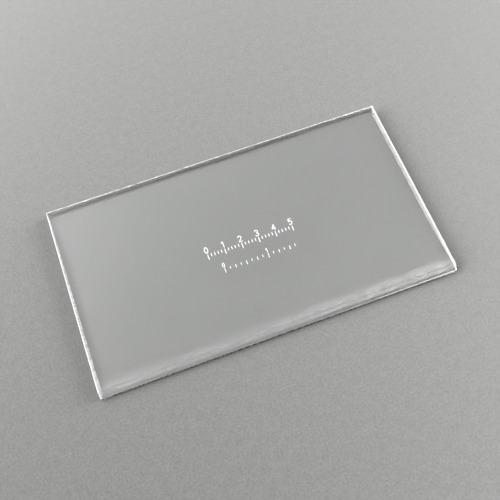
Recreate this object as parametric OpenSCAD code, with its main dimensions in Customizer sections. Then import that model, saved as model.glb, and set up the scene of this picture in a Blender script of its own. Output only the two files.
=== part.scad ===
// Icing smoother: one flat plate cut from clear acrylic sheet. One long edge is
// the working edge, with a bevel milled off its top side and a flat land left
// below the bevel. The other three edges are sawn square. The corner lines round
// the top and the underside are broken with a very small chamfer.
// +X runs along the working edge, +Y from the working edge to the back edge,
// +Z up. The origin is the middle of the underside.

/* [Plate] */
// Length of the plate along the working edge, in mm
plate_length = 203.2; // [100:0.1:400]
// Width of the plate from the working edge to the back edge, in mm
plate_width = 114.3; // [60:0.1:200]
// Thickness of the sheet, in mm
plate_thickness = 6; // [3:0.1:12]

/* [Working edge] */
// Width that the bevel takes off the top face, in mm
bevel_width = 3.4; // [0.5:0.1:10]
// Height of the flat land under the bevel, in mm
land_height = 2.6; // [0.6:0.1:2.6]

/* [Sawn edges] */
// Leg of the chamfer that breaks each sharp corner line, in mm
arris_leg = 0.15; // [0.05:0.05:0.3]

/* [Hidden] */

half_l = plate_length / 2;
half_w = plate_width / 2;
a = arris_leg;

// Section across the plate, as [y, z] points: the land and the bevel are at the left
section_points = [
    [-half_w + a, 0],
    [half_w - a, 0],
    [half_w, a],
    [half_w, plate_thickness - a],
    [half_w - a, plate_thickness],
    [-half_w + bevel_width, plate_thickness],
    [-half_w, land_height],
    [-half_w, a]
];

// Outline seen from the working edge, as [x, z] points
front_points = [
    [-half_l + a, 0],
    [half_l - a, 0],
    [half_l, a],
    [half_l, plate_thickness - a],
    [half_l - a, plate_thickness],
    [-half_l + a, plate_thickness],
    [-half_l, plate_thickness - a],
    [-half_l, a]
];

// The whole tool is one plate: what the two outlines have in common
module smoother_plate() {
    color([0.86, 0.89, 0.88, 0.35])
    intersection() {
        rotate([90, 0, 90])
            linear_extrude(height = plate_length, center = true)
                polygon(section_points);
        rotate([90, 0, 0])
            linear_extrude(height = plate_width + 2, center = true)
                polygon(front_points);
    }
}

smoother_plate();
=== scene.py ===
import math
import random

import bpy
from mathutils import Matrix, Vector
from mathutils.geometry import delaunay_2d_cdt


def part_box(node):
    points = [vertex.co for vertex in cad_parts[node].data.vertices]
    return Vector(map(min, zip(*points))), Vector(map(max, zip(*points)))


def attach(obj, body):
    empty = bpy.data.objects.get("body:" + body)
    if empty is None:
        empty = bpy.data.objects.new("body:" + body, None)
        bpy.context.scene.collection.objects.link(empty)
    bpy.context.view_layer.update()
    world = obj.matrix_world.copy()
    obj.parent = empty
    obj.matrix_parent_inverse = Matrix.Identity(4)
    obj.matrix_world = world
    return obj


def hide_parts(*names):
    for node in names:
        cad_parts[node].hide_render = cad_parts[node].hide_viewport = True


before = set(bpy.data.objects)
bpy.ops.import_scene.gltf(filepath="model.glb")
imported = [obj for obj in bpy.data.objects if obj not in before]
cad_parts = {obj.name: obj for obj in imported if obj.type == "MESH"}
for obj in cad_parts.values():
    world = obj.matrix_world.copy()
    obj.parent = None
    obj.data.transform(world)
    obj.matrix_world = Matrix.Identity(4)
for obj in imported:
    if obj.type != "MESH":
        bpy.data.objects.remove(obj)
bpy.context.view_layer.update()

MM = 0.001

# ---------------------------------------------------------------- sizes, in mm
low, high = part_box("smoother_plate")
LX = (high.x - low.x) / MM          # along the working edge
LY = (high.y - low.y) / MM          # working edge to back edge
TH = (high.z - low.z) / MM          # sheet
HX, HY = LX / 2, LY / 2
BEVEL_W = 3.4                       # what the bevel takes off the top face
LAND_H = 2.6                        # flat land left under the bevel
BEVEL_R = 0.15                      # softness of the line where the bevel meets the top face
ARRIS = 0.15                        # broken corner line
HAZE_AND_GLOW_W, HAZE_AND_GLOW = 5.4, 0.042            # how far the mill's haze and the painted glow reach behind the bevel, and their strength
MILLED_LOW, MILLED_HIGH = 0.0, 0.1    # white scatter of the bevel, at the land and at the top face; its rise up the bevel is painted light and shade
PITCH = 0.32                        # spacing of the columns that carry the tool marks
MIRROR = 0.12                       # how much of a clear face's mirror reflection is kept at low angles
CORNER_R = 0.25                     # the four upright corner lines, broken by hand

# ---------------------------------------------------------------- camera
cam_data = bpy.data.cameras.new("camera")
cam = bpy.data.objects.new("camera", cam_data)
bpy.context.scene.collection.objects.link(cam)
cam_data.sensor_fit = "HORIZONTAL"
cam_data.sensor_width = 36.0
cam_data.lens = 55.842
cam_data.clip_start = 0.01
cam_data.clip_end = 20
axes = ((0.938068, -0.345056, -0.031063), (-0.325282, -0.846339, -0.421784), (0.119248, 0.405766, -0.906164))
right, down, forward = (Vector(a).normalized() for a in axes)
turn = Matrix((right, -down, -forward)).transposed().to_4x4()
turn.translation = Vector((-0.051853, -0.18099, 0.395512))
cam.matrix_world = turn
bpy.context.scene.camera = cam


# ---------------------------------------------------------------- node helpers
class Tree:
    """A few short calls for making a material's nodes."""

    def __init__(self, name):
        self.mat = bpy.data.materials.new(name)
        self.mat.use_nodes = True
        self.nt = self.mat.node_tree
        self.nt.nodes.clear()
        self.out = self.nt.nodes.new("ShaderNodeOutputMaterial")
        self.where = self.add("ShaderNodeTexCoord").outputs["Object"]

    def add(self, kind, inputs=(), **settings):
        node = self.nt.nodes.new(kind)
        for key, value in settings.items():
            setattr(node, key, value)
        for key, value in dict(inputs).items():
            self.put(node.inputs[key], value)
        return node

    def put(self, socket, value):
        if isinstance(value, bpy.types.NodeSocket):
            self.nt.links.new(value, socket)
        else:
            socket.default_value = value

    def scaled(self, size, turn=(0, 0, 0)):
        """Object coordinates in metres, made into pattern units: size gives the length of one unit along x, y and z in mm."""
        return self.add("ShaderNodeMapping", {"Vector": self.where, "Scale": [1000.0 / s for s in size], "Rotation": turn}).outputs[0]

    def noise(self, size, detail=3.0, rough=0.55, turn=(0, 0, 0)):
        return self.add("ShaderNodeTexNoise", {"Vector": self.scaled(size, turn), "Scale": 1.0, "Detail": detail, "Roughness": rough}).outputs["Fac"]

    def span(self, value, a, b, lo, hi):
        """value from a to b becomes lo to hi, and no further."""
        return self.add("ShaderNodeMapRange", {"Value": value, "From Min": a, "From Max": b, "To Min": lo, "To Max": hi}).outputs[0]

    def blend(self, fac, one, two):
        """Mixes two colours."""
        node = self.add("ShaderNodeMix", data_type="RGBA")
        self.put(node.inputs[0], fac)
        self.put(node.inputs[6], one)
        self.put(node.inputs[7], two)
        return node.outputs[2]

    def math(self, op, a, b):
        return self.add("ShaderNodeMath", {0: a, 1: b}, operation=op).outputs[0]

    def bump(self, height, distance, strength=1.0):
        return self.add("ShaderNodeBump", {"Height": height, "Distance": distance * MM, "Strength": strength}).outputs[0]

    def principled(self, **inputs):
        return self.add("ShaderNodeBsdfPrincipled", {k.replace("_", " "): v for k, v in inputs.items()}).outputs[0]

    def mix(self, fac, one, two):
        return self.add("ShaderNodeMixShader", {0: fac, 1: one, 2: two}).outputs[0]

    def soft_glass(self, glass, **inputs):
        """Clear sheet that mirrors normally when seen steeply and past the critical angle, and little of the lamps when seen at a low angle. It passes no more light than clear sheet does."""
        away = self.add("ShaderNodeFresnel", {"IOR": 1.49}).outputs[0]
        grazing = self.span(away, 0.05, 0.085, 0.0, 1.0 - MIRROR)
        inside = self.span(away, 0.9, 0.99, 1.0, 0.0)
        cut = self.math("MULTIPLY", grazing, inside)
        passed = self.math("MULTIPLY", self.math("SUBTRACT", 1.0, away), 0.9965)
        through = self.add("ShaderNodeBsdfRefraction", {"Color": passed, "IOR": 1.49, **{k.replace("_", " "): v for k, v in inputs.items()}}).outputs[0]
        return self.mix(cut, glass, through)

    def done(self, shader):
        self.put(self.out.inputs["Surface"], shader)
        return self.mat


def make_clear():
    """Cast sheet as it leaves its film: faint polish haze and a few hairlines."""
    t = Tree("acrylic_clear")
    haze = t.noise((38, 38, 38), 4.0)
    hair = t.noise((0.35, 24, 24), 2.0, 0.5, (0, 0, 0.5))
    rough = t.math("ADD", t.span(haze, 0.35, 0.75, 0.0, 0.008), t.span(hair, 0.66, 0.8, 0.0, 0.02))
    tint = (0.992, 0.996, 0.993, 1)
    solid = t.principled(Base_Color=tint, Roughness=rough, IOR=1.49, Transmission_Weight=1.0)
    return t.done(t.soft_glass(solid, Roughness=rough))


def along(t, x):
    """The white scatter is made stronger towards the right end, where the light falls stronger: painted light."""
    return t.math("ADD", t.span(x, -HX * MM, HX * MM, 0.7, 1.2), t.span(x, 0.15 * HX * MM, 0.9 * HX * MM, 0.0, 0.7))


def make_haze_and_glow():
    """The top face just behind the bevel, dulled a little by the mill, under a white veil that stands in for the glow
    of light the bevel throws onto the floor beneath: haze and painted light. Both fade out towards the back.
    """
    t = Tree("acrylic_haze_and_painted_glow")
    parts = t.add("ShaderNodeSeparateXYZ", {"Vector": t.where}).outputs
    start = (-HY + BEVEL_W) * MM
    fade = t.span(parts["Y"], start + 0.33 * HAZE_AND_GLOW_W * MM, start + HAZE_AND_GLOW_W * MM, 1.0, 0.0)
    groove = t.noise((1.9, 40, 40), 2.0)
    run = t.span(t.math("ADD", groove, t.noise((9, 30, 30), 1.0)), 0.78, 1.22, 0.5, 1.5)
    normal = t.bump(t.math("MULTIPLY", groove, fade), 0.06, 0.8)
    # painted light: the white veil for the bevel's glow, fading towards the back and stronger towards the right end
    veil = t.math("MULTIPLY", t.math("MULTIPLY", fade, run), t.math("MULTIPLY", along(t, parts["X"]), HAZE_AND_GLOW))
    rough = t.math("MULTIPLY", fade, 0.25)
    solid = t.principled(Base_Color=(0.992, 0.996, 0.993, 1), Roughness=rough, IOR=1.49, Transmission_Weight=1.0, Normal=normal)
    solid = t.soft_glass(solid, Roughness=rough, Normal=normal)
    return t.done(t.mix(veil, solid, t.add("ShaderNodeBsdfDiffuse", {"Color": (0.95, 0.96, 0.95, 1), "Normal": normal}).outputs[0]))


def make_milled():
    """The bevel as the mill left it: fine grooves up the slope, rougher glass with a thin white scatter. The scatter
    grows from the land to the top face, painting in the shade the bevel's bending of light leaves low on it and the
    glow it makes higher up: milling and painted light and shade."""
    t = Tree("acrylic_milled")
    parts = t.add("ShaderNodeSeparateXYZ", {"Vector": t.where}).outputs
    groove = t.noise((1.9, 40, 40), 2.0)
    marks = t.math("ADD", groove, t.noise((9, 30, 30), 1.0))
    rise = t.span(parts["Y"], -HY * MM, (-HY + BEVEL_W) * MM, 0.0, 1.0)
    # painted light and shade: no scatter at the land, rising up the bevel, easing off just under the top face, and
    # stronger towards the right end
    veil = t.math("MULTIPLY", t.span(rise, 0.24, 0.5, MILLED_LOW, MILLED_HIGH), t.span(marks, 0.78, 1.22, 0.5, 1.5))
    veil = t.math("MULTIPLY", veil, t.span(rise, 0.7, 1.0, 1.0, 0.45))
    veil = t.math("MULTIPLY", veil, along(t, parts["X"]))
    normal = t.bump(groove, 0.08, 0.9)
    solid = t.principled(Base_Color=(0.985, 0.99, 0.985, 1), Roughness=t.span(marks, 0.7, 1.3, 0.35, 0.5), IOR=1.49, Transmission_Weight=1.0, Normal=normal)
    return t.done(t.mix(veil, solid, t.add("ShaderNodeBsdfDiffuse", {"Color": (0.95, 0.96, 0.95, 1), "Normal": normal}).outputs[0]))


def frosted(name, tint, low, marks, glass, rough, out_in, in_out, shell=0.5):
    """Roughened acrylic: part rough glass, part white scatter. Its fine cracks pass more of the light that
    falls on it from outside (out_in) than of the light that comes from inside the sheet (in_out), and scatter
    the rest back. shell is how white it is from outside, next to how white it is from inside."""
    t = Tree(name)
    inner = t.add("ShaderNodeNewGeometry").outputs["Backfacing"]
    patch = t.noise((2.2, 2.2, 2.2), 4.0)
    streak = t.noise(marks, 2.0)
    white = t.blend(t.span(t.math("ADD", patch, streak), 0.75, 1.25, 0.0, 1.0), (low, low, low, 1), (tint, tint, tint, 1))
    skin = t.blend(inner, (shell, shell, shell, 1), (1, 1, 1, 1))
    white_back = t.add("ShaderNodeMix", data_type="RGBA", blend_type="MULTIPLY")
    for key, value in ((0, 1.0), (6, white), (7, skin)):
        t.put(white_back.inputs[key], value)
    normal = t.bump(streak, 0.05, 0.5)
    solid = t.principled(Base_Color=white_back.outputs[2], Roughness=t.span(streak, 0.3, 0.7, rough * 0.7, rough * 1.2), IOR=1.49, Transmission_Weight=glass, Normal=normal)
    veil = t.add("ShaderNodeBsdfTranslucent", {"Color": white, "Normal": normal}).outputs[0]
    return t.done(t.mix(t.span(inner, 0.0, 1.0, in_out, out_in), solid, veil))


CLEAR, SAWN, BACK, MILLED, LAND, BURR, ETCHED, SCRAPED, HAZE_AND_GLOW_FACE, PAINTED_FOOT_SHADE, SAWN_TOP, FRONT = range(12)
materials = [
    make_clear(),
    frosted("acrylic_sawn", 0.99, 0.92, (0.9, 0.9, 9.0), 0.2, 0.4, 0.5, 0.12),
    # The back edge: glassier and smoother than the ends, with a darker colour that is painted shade, for the little
    # light that reaches it from behind.
    frosted("acrylic_back", 0.8, 0.35, (0.7, 0.7, 5.0), 0.86, 0.22, 0.07, 0.08),
    make_milled(),
    frosted("acrylic_land", 0.99, 0.85, (5.0, 0.8, 0.8), 0.1, 0.4, 0.3, 0.35, 1.0),
    frosted("acrylic_burr", 0.99, 0.93, (0.5, 0.5, 0.5), 0.0, 0.6, 0.4, 0.3, 1.0),
    frosted("acrylic_etched", 0.99, 0.93, (0.3, 0.3, 0.3), 0.1, 0.6, 0.25, 0.25, 1.0),
    frosted("acrylic_scraped", 0.98, 0.8, (0.8, 0.8, 3.0), 0.6, 0.35, 0.3, 0.12, 1.0),
    make_haze_and_glow(),
    # The lower corner line of the working edge and the back edge, made nearly black: painted shade, for the contact
    # shadow along the foot.
    frosted("acrylic_foot_painted_shade", 0.3, 0.08, (0.7, 0.7, 0.7), 0.6, 0.35, 0.02, 0.05),
    frosted("acrylic_sawn_top", 0.98, 0.88, (0.9, 0.9, 6.0), 0.45, 0.35, 0.25, 0.1),
    # The land under the bevel: glassy, with a darker colour that is painted shade.
    frosted("acrylic_front", 0.75, 0.24, (0.7, 0.7, 5.0), 0.7, 0.3, 0.07, 0.08),
]


# ---------------------------------------------------------------- tool marks and chips
class Wander:
    """A smooth random curve, the same each run."""

    def __init__(self, seed, step):
        self.rng, self.step, self.seen = random.Random(seed), step, {}
        self.table = [self.rng.random() for _ in range(997)]

    def __call__(self, s):
        u = s / self.step
        i = math.floor(u)
        f = u - i
        f = f * f * (3 - 2 * f)
        a, b = self.table[i % 997], self.table[(i + 1) % 997]
        return a + (b - a) * f


fine, coarse, slow = Wander(3, 0.5), Wander(5, 2.3), Wander(8, 17.0)
streak_a, streak_b = Wander(11, 0.75), Wander(12, 3.1)


def chips(seed, spans):
    """Chips along the edges: (middle, half width, how far it reaches into the top face, how far down the wall), by distance round the outline."""
    rng = random.Random(seed)
    found = []
    for start, end, count, reach in spans:
        for _ in range(count):
            found.append((rng.uniform(start, end), rng.uniform(0.35, 1.3), reach * rng.uniform(0.35, 1.0), reach * rng.uniform(0.25, 0.8)))
    return found


# distance round the outline: working edge, right end, back edge (from the right), left end (from the back)
S_RIGHT, S_BACK, S_LEFT, S_END = LX, LX + LY, 2 * LX + LY, 2 * LX + 2 * LY
CHIPS = chips(21, [
    (S_LEFT - 0.20 * LX, S_LEFT - 0.5, 40, 0.6),
    (S_LEFT - 0.45 * LX, S_LEFT - 0.20 * LX, 34, 0.55),
    (S_BACK + 1, S_LEFT - 0.42 * LX, 26, 0.42),
    (S_RIGHT + 4, S_BACK, 12, 0.3),
    (S_LEFT, S_END - 4, 12, 0.3),
])


def arris_at(s, side):
    """Size of the broken top corner line: into the face, and down the wall."""
    # Along the working edge the white corner line is made wider towards the right end, where the light falls stronger:
    # painted light.
    base_h, base_v = {"front": (0.1 + 0.04 * min(max((s / LX - 0.6) / 0.1, 0.0), 1.0) + 0.16 * min(max((s / LX - 0.7) / 0.2, 0.0), 1.0), 0.09), "right": (0.2, 0.2), "back": (0.28, 0.14), "left": (0.2, 0.2)}[side]
    h = base_h * (0.7 + 0.6 * fine(s) + 0.3 * coarse(s))
    v = base_v * (0.7 + 0.6 * coarse(s + 400) + 0.3 * fine(s + 70))
    if side != "front":
        for mid, half, reach, drop in CHIPS:
            d = abs(s - mid) / half
            if d < 1:
                bow = math.sqrt(1 - d * d)
                h, v = max(h, reach * bow), max(v, drop * bow)
    return h, v


def foot_at(s, side):
    """How far the lower corner line was scraped back, in mm: most along the right end, less at the left end, next to nothing elsewhere."""
    b = ARRIS * (0.75 + 0.5 * fine(s + 1000))
    if side == "back":
        t = min(s - S_BACK, S_LEFT - s)
        b += 0.3 * min(max((t - 0.6) / 1.5, 0.0), 1.0) * (0.75 + 0.5 * coarse(s + 90))
    if side == "right":
        t = (s - S_RIGHT) / LY                       # 0 at the working edge, 1 at the back
        reach = 1.25 * min(max((t - 0.02) / 0.3, 0.0), 1.0) * min(max((1.0 - t) / 0.04, 0.0), 1.0)
        b += reach * (0.85 + 0.2 * coarse(s + 300) + 0.1 * fine(s + 31))
    elif side == "left":
        t = (S_END - s) / LY
        reach = (1.45 - 1.0 * t) * min(max((t - 0.005) / 0.03, 0.0), 1.0) * min(max((1.0 - t) / 0.04, 0.0), 1.0)
        b += reach * (0.8 + 0.3 * coarse(s + 300) + 0.1 * fine(s + 31))
    return b


def wall_mark(s, z, side):
    """How far the tool marks cut into a wall, in mm."""
    if side == "front":
        return 0.004 * coarse(z * 9 + s * 0.01) + 0.003 * fine(s)
    slant = s + 0.22 * z + 0.02 * z * z
    return 0.010 * (0.5 + 0.5 * math.sin(slant * 2 * math.pi / 1.55)) + 0.012 * fine(slant * 0.8) + 0.012 * slow(s)


def top_at(x, y):
    """Height of the top face or the bevel, in mm."""
    slope = (TH - LAND_H) / BEVEL_W
    z = LAND_H + slope * (y + HY)
    h = min(max(0.5 + 0.5 * (TH - z) / BEVEL_R, 0.0), 1.0)
    top = TH + (z - TH) * h - BEVEL_R * h * (1 - h)
    if z < TH + BEVEL_R:
        run = x + 0.06 * (y + HY)
        cut = 0.0015 * streak_a(run) + 0.001 * streak_b(run)
        top -= cut * min(max((TH + BEVEL_R - z) / 0.6, 0.0), 1.0)
    return top


def outline():
    """Columns round the plate, anticlockwise from above: (x, y, nx, ny, s, side)."""
    sides = [("front", (-HX, -HY), (1, 0), LX), ("right", (HX, -HY), (0, 1), LY), ("back", (HX, HY), (-1, 0), LX), ("left", (-HX, HY), (0, -1), LY)]
    columns, start = [], 0.0
    for name, (x0, y0), (dx, dy), length in sides:
        nx, ny = dy, -dx
        count = round((length - 2 * CORNER_R) / PITCH)
        for i in range(count + 1):
            d = CORNER_R + (length - 2 * CORNER_R) * i / count
            columns.append((x0 + dx * d, y0 + dy * d, nx, ny, start + d, name))
        # the corner that ends this side
        cx, cy = x0 + dx * (length - CORNER_R) - nx * CORNER_R, y0 + dy * (length - CORNER_R) - ny * CORNER_R
        for k in (1, 2):
            a = math.radians(30 * k)
            ux, uy = nx * math.cos(a) + dx * math.sin(a), ny * math.cos(a) + dy * math.sin(a)
            columns.append((cx + ux * CORNER_R, cy + uy * CORNER_R, ux, uy, start + length, name))
        start += length
    return columns


# ---------------------------------------------------------------- the etched scale
def arc(cx, cy, rx, ry, a0, a1, n):
    return [(cx + rx * math.cos(math.radians(a0 + (a1 - a0) * i / n)), cy + ry * math.sin(math.radians(a0 + (a1 - a0) * i / n))) for i in range(n + 1)]


# one-line numerals in a cell 0.6 wide and 1 high
NUMERALS = {
    "0": [arc(0.3, 0.5, 0.26, 0.5, 80, 280, 14), arc(0.3, 0.5, 0.26, 0.5, -100, 100, 14)],
    "1": [[(0.12, 0.78), (0.35, 1.0)], [(0.35, 1.0), (0.35, 0.0)]],
    "2": [arc(0.3, 0.71, 0.26, 0.29, 165, -30, 10) + [(0.03, 0.0)], [(0.03, 0.0), (0.58, 0.0)]],
    "3": [arc(0.27, 0.755, 0.25, 0.245, 150, -95, 11), arc(0.27, 0.255, 0.28, 0.255, 95, -150, 12)],
    "4": [[(0.43, 0.0), (0.43, 1.0)], [(0.43, 1.0), (0.02, 0.29)], [(0.02, 0.29), (0.6, 0.29)]],
    "5": [[(0.54, 1.0), (0.12, 1.0)], [(0.12, 1.0), (0.07, 0.55)], [(0.07, 0.55)] + arc(0.27, 0.32, 0.29, 0.32, 125, -145, 13)],
}


def stroke(points, width):
    """The outline of a line drawn with a round tip, anticlockwise."""
    r = width / 2
    p = [Vector(q) for q in points]
    steps = [(b - a).normalized() for a, b in zip(p, p[1:])]
    leftside, rightside = [], []
    for i, q in enumerate(p):
        a, b = steps[max(i - 1, 0)], steps[min(i, len(steps) - 1)]
        m = (a + b).normalized()
        side = Vector((-m.y, m.x)) * (r / max(m.dot(a), 0.5))
        leftside.append(q + side)
        rightside.append(q - side)
    ends = []
    for q, d in ((p[-1], steps[-1]), (p[0], -steps[0])):
        n = Vector((-d.y, d.x))
        ends.append([q + (d * math.cos(a) + n * math.sin(a)) * r for a in (math.radians(-50), 0.0, math.radians(50))])
    return rightside + ends[0] + leftside[::-1] + ends[1]


def etched_strokes():
    made = []

    def tick(x, y, height, width):
        made.append(stroke([(x, y), (x, y - height)], width))

    def number(text, x, y, height, width):
        for line in NUMERALS[text]:
            made.append(stroke([(x + (u - 0.3) * height, y + v * height) for u, v in line], width))

    # long scale, in centimetres
    for i in range(26):
        x = -23.5 + 2.0 * i
        tick(x, -0.9, 3.0 if i % 5 == 0 else 1.5, 0.42)
        if i % 5 == 0:
            number(str(i // 5), x, 0.2, 3.5, 0.44)
    # short scale, in inches
    for i in range(14):
        x = -17.4 + 25.4 / 8 * i
        tick(x, -11.9, (2.6, 1.2, 1.7, 1.2, 2.1, 1.2, 1.7, 1.2)[i % 8], 0.36)
        if i % 8 == 0:
            number(str(i // 8), x, -11.2, 2.4, 0.36)
    return made


def inside(x, y, loop):
    hit = False
    for (x0, y0), (x1, y1) in zip(loop, loop[1:] + loop[:1]):
        if (y0 > y) != (y1 > y) and x < (x1 - x0) * (y - y0) / (y1 - y0) + x0:
            hit = not hit
    return hit


# ---------------------------------------------------------------- the plate
def build_plate():
    verts, faces, kinds = [], [], []

    def vert(x, y, z):
        verts.append((x * MM, y * MM, min(max(z, 0.0), TH) * MM))
        return len(verts) - 1

    def face(ids, kind):
        faces.append(ids)
        kinds.append(kind)

    columns = outline()
    n = len(columns)
    shares = (0.0, 0.2, 0.4, 0.6, 0.8, 1.0)
    walls, tops, feet = [], [], []
    for x, y, nx, ny, s, side in columns:
        h, v = arris_at(s, side)
        reach = min(abs(s - c) for c in (0.0, S_RIGHT, S_BACK, S_LEFT, S_END))      # to the nearest corner
        h, v = (min(h, 0.18), min(v, 0.18)) if nx and ny else (min(h, max(0.18, 0.7 * reach)), v)
        full = top_at(x, y)
        b = foot_at(s, side)
        z0, z1 = max(b * 0.95, ARRIS * 0.9), full - v
        row = []
        for k in shares:
            z = z0 + (z1 - z0) * k
            d = wall_mark(s, z, side)
            row.append(vert(x - nx * d, y - ny * d, z))
        walls.append(row)
        tops.append((x - nx * h, y - ny * h))
        feet.append((x - nx * b, y - ny * b))

    speck = random.Random(41)

    def wall_kind(s, side, k):
        """Near both ends, in its upper rows, the back edge takes the white rough finish, with smoother, glassier sheet
        between: saw marks near the left end, and painted light near the right end, where the light from the right falls
        on it.
        """
        if side == "front":
            u = s / LX                               # 0 at the left end
            # Towards the right end more and more of the land's top row turns white: a scuffed line, made whiter to the
            # right where the light falls stronger: wear and painted light.
            wear_and_painted_light = 0.55 * speck.random() + 0.45 * fine(s * 0.5 + 60 * k) < 0.3 + 0.8 * u
            return LAND if wear_and_painted_light and k == 4 and u > 0.6 else FRONT
        if side != "back":
            return SAWN if side == "left" or k < 3 else SAWN_TOP
        u = (S_LEFT - s) / LX
        rough = max(0.6 - 1.2 * u, (u - 0.75) / 0.2, 0.0) * (0.0, 0.0, 0.15, 0.4, 0.7)[k]
        return SAWN if 0.3 * speck.random() + 0.7 * fine(s * 0.6 + 90 * k) < rough else BACK

    for i in range(n):
        j = (i + 1) % n
        for k in range(len(shares) - 1):
            face((walls[i][k], walls[j][k], walls[j][k + 1], walls[i][k + 1]), wall_kind(columns[i][4], columns[i][5], k))

    # top face and bevel, with the strokes cut in
    points = [Vector(p) for p in tops]
    edges = [(i, (i + 1) % n) for i in range(n)]
    slope_rows = [0.6, 1.15, 1.75, 2.35, 2.9, BEVEL_W - 0.15, BEVEL_W - 0.07, BEVEL_W, BEVEL_W + 0.07, BEVEL_W + 0.15, BEVEL_W + HAZE_AND_GLOW_W]
    count = round((LX - 2) / PITCH)
    for t in slope_rows:
        first = len(points)
        for i in range(count + 1):
            points.append(Vector((-HX + 1.0 + (LX - 2.0) * i / count, -HY + t)))
        edges += [(first + i, first + i + 1) for i in range(count)]
    loops = []
    for line in etched_strokes():
        first = len(points)
        points += [Vector((p.x, p.y)) for p in line]
        edges += [(first + i, first + (i + 1) % len(line)) for i in range(len(line))]
        loops.append(([(p.x, p.y) for p in line], min(p.x for p in line), max(p.x for p in line), min(p.y for p in line), max(p.y for p in line)))
    flat, _, tris, _, _, _ = delaunay_2d_cdt(points, edges, [], 1, 1e-5)
    tris = [t for t in tris if len(t) == 3]
    grooved = []
    for t in tris:
        x, y = (sum(flat[i][a] for i in t) / 3 for a in (0, 1))
        grooved.append(any(x0 < x < x1 and y0 < y < y1 and inside(x, y, loop) for loop, x0, x1, y0, y1 in loops))
    kept = {i for t, cut in zip(tris, grooved) if not cut for i in t}
    upper = [vert(p.x, p.y, top_at(p.x, p.y)) if i in kept else None for i, p in enumerate(flat)]
    depth = Wander(31, 0.4)
    lower, borders = {}, {}
    for t, cut in zip(tris, grooved):
        if sum((flat[t[a]].x * flat[t[(a + 1) % 3]].y - flat[t[(a + 1) % 3]].x * flat[t[a]].y) for a in range(3)) < 0:
            t = t[::-1]
        for a, b in zip(t, t[1:] + t[:1]):
            borders.setdefault((min(a, b), max(a, b)), []).append((cut, a, b))
        if cut:
            for i in t:
                if i not in lower:
                    p = flat[i]
                    lower[i] = vert(p.x, p.y, TH - 0.10 - 0.04 * depth(p.x * 3.1 + p.y * 7.7))
            face(tuple(lower[i] for i in t), ETCHED)
        else:
            mid = sum(flat[i].y for i in t) / 3 + HY
            face(tuple(upper[i] for i in t), MILLED if mid < BEVEL_W - 0.08 else HAZE_AND_GLOW_FACE if mid < BEVEL_W + HAZE_AND_GLOW_W else CLEAR)
    for sharing in borders.values():
        if len(sharing) == 2 and sharing[0][0] != sharing[1][0]:
            cut, a, b = sharing[0] if sharing[0][0] else sharing[1]
            face((lower[b], lower[a], upper[a], upper[b]), ETCHED)

    # the broken top corner line joins the walls to the top face
    near = {}
    for i, p in enumerate(flat):
        near[(round(p.x, 4), round(p.y, 4))] = upper[i]
    ring = [near[(round(x, 4), round(y, 4))] for x, y in (Vector(p) for p in tops)]
    for i in range(n):
        j = (i + 1) % n
        face((walls[i][-1], walls[j][-1], ring[j], ring[i]), BURR)

    # underside
    sole, _, tris, _, _, _ = delaunay_2d_cdt([Vector(p) for p in feet], [(i, (i + 1) % n) for i in range(n)], [], 1, 1e-5)
    under = [vert(p.x, p.y, 0.0) for p in sole]
    for t in tris:
        if sum((sole[t[a]].x * sole[t[(a + 1) % 3]].y - sole[t[(a + 1) % 3]].x * sole[t[a]].y) for a in range(3)) > 0:
            t = t[::-1]
        face(tuple(under[i] for i in t), CLEAR)
    near = {(round(p.x, 4), round(p.y, 4)): under[i] for i, p in enumerate(sole)}
    ring = [near[(round(x, 4), round(y, 4))] for x, y in (Vector(p) for p in feet)]
    for i in range(n):
        j = (i + 1) % n
        # along the working edge and the back edge the lower corner line takes the near-black material: painted shade
        face((ring[i], ring[j], walls[j][0], walls[i][0]), SCRAPED if columns[i][5] in ("right", "left") else PAINTED_FOOT_SHADE)

    me = bpy.data.meshes.new("acrylic_plate")
    me.from_pydata(verts, [], faces)
    for m in materials:
        me.materials.append(m)
    me.polygons.foreach_set("material_index", kinds)
    me.validate()
    me.update()
    ob = bpy.data.objects.new("acrylic_plate", me)
    bpy.context.scene.collection.objects.link(ob)
    return ob


plate = build_plate()
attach(plate, "root")
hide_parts("smoother_plate")

# ---------------------------------------------------------------- floor
S, Z = 3.0, -0.00005
me = bpy.data.meshes.new("floor")
me.from_pydata([(-S, -S, Z), (S, -S, Z), (S, S, Z), (-S, S, Z)], [], [(0, 1, 2, 3)])
floor = bpy.data.objects.new("floor", me)
bpy.context.scene.collection.objects.link(floor)
t = Tree("table")
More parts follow.
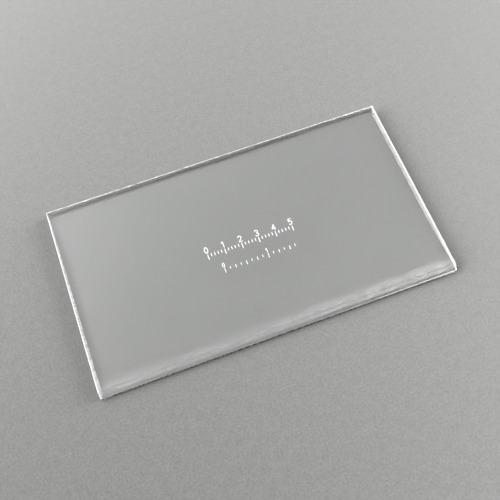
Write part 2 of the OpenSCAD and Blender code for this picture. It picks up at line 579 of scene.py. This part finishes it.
# a card with a fine grain; its colour is painted lighter towards the back and, away from the middle of the view,
# towards both sides: painted light
across = t.add("ShaderNodeVectorMath", {0: t.where, 1: (0.938, -0.345, 0.0)}, operation="DOT_PRODUCT").outputs["Value"]
away = t.add("ShaderNodeVectorMath", {0: t.where, 1: (0.345, 0.938, 0.0)}, operation="DOT_PRODUCT").outputs["Value"]
slope = t.math("ADD", t.math("MULTIPLY", away, 1.016), t.math("MULTIPLY", across, 0.378))
painted_side_light = t.math("MULTIPLY", across, t.math("SUBTRACT", t.math("MULTIPLY", across, 7.07), t.math("MULTIPLY", away, 2.96)))
grain = t.math("ADD", t.math("MULTIPLY", t.noise((1.15, 1.15, 1.15), 2.0), 0.55), t.math("MULTIPLY", t.noise((4.5, 4.5, 4.5), 3.0), 0.2))
shade = t.span(t.math("ADD", t.math("ADD", slope, painted_side_light), grain), -0.083, 0.917, 0.0, 1.0)
me.materials.append(t.done(t.principled(Base_Color=t.blend(shade, (0.079, 0.0795, 0.0777, 1), (0.22, 0.222, 0.217, 1)), Roughness=0.75, Specular_IOR_Level=0.0)))

# ---------------------------------------------------------------- light
# soft lobes of light round the plate: (turn from +X towards +Y, height above the floor, sharpness, strength)
LOBES = [
    (0, 22, 20, 20.3),
    (180, 22, 20, 13.7),
    (135, 38, 14, 9.9),
    (180, 38, 14, 2.7),
    (90, 38, 14, 1.2),
    (120, 56, 12, 0.4),
    (0, 74, 12, 1.5),
]
AMBIENT = 0.0
world = bpy.data.worlds.new("world")
bpy.context.scene.world = world
world.use_nodes = True
nt = world.node_tree
bg = next(n for n in nt.nodes if n.type == "BACKGROUND")
place = nt.nodes.new("ShaderNodeTexCoord").outputs["Generated"]


def wmath(op, a, b=0.0, c=0.0):
    node = nt.nodes.new("ShaderNodeMath")
    node.operation = op
    for i, v in enumerate((a, b, c)):
        if isinstance(v, bpy.types.NodeSocket):
            nt.links.new(v, node.inputs[i])
        elif i < len(node.inputs):
            node.inputs[i].default_value = v
    return node.outputs[0]


total = wmath("ADD", AMBIENT, 0.0)
for az, el, sharp, strength in LOBES:
    a, e = math.radians(az), math.radians(el)
    dot = nt.nodes.new("ShaderNodeVectorMath")
    dot.operation = "DOT_PRODUCT"
    nt.links.new(place, dot.inputs[0])
    dot.inputs[1].default_value = (math.cos(a) * math.cos(e), math.sin(a) * math.cos(e), math.sin(e))
    glow = wmath("EXPONENT", wmath("MULTIPLY_ADD", dot.outputs["Value"], sharp, -sharp))
    total = wmath("MULTIPLY_ADD", glow, strength, total)
nt.links.new(total, bg.inputs["Strength"])
bg.inputs["Color"].default_value = (1, 1, 1, 1)

s = bpy.context.scene
s.view_settings.view_transform = "Standard"
s.view_settings.look = "None"
s.cycles.blur_glossy = 0.0
s.cycles.max_bounces = 16
s.cycles.transmission_bounces = 16
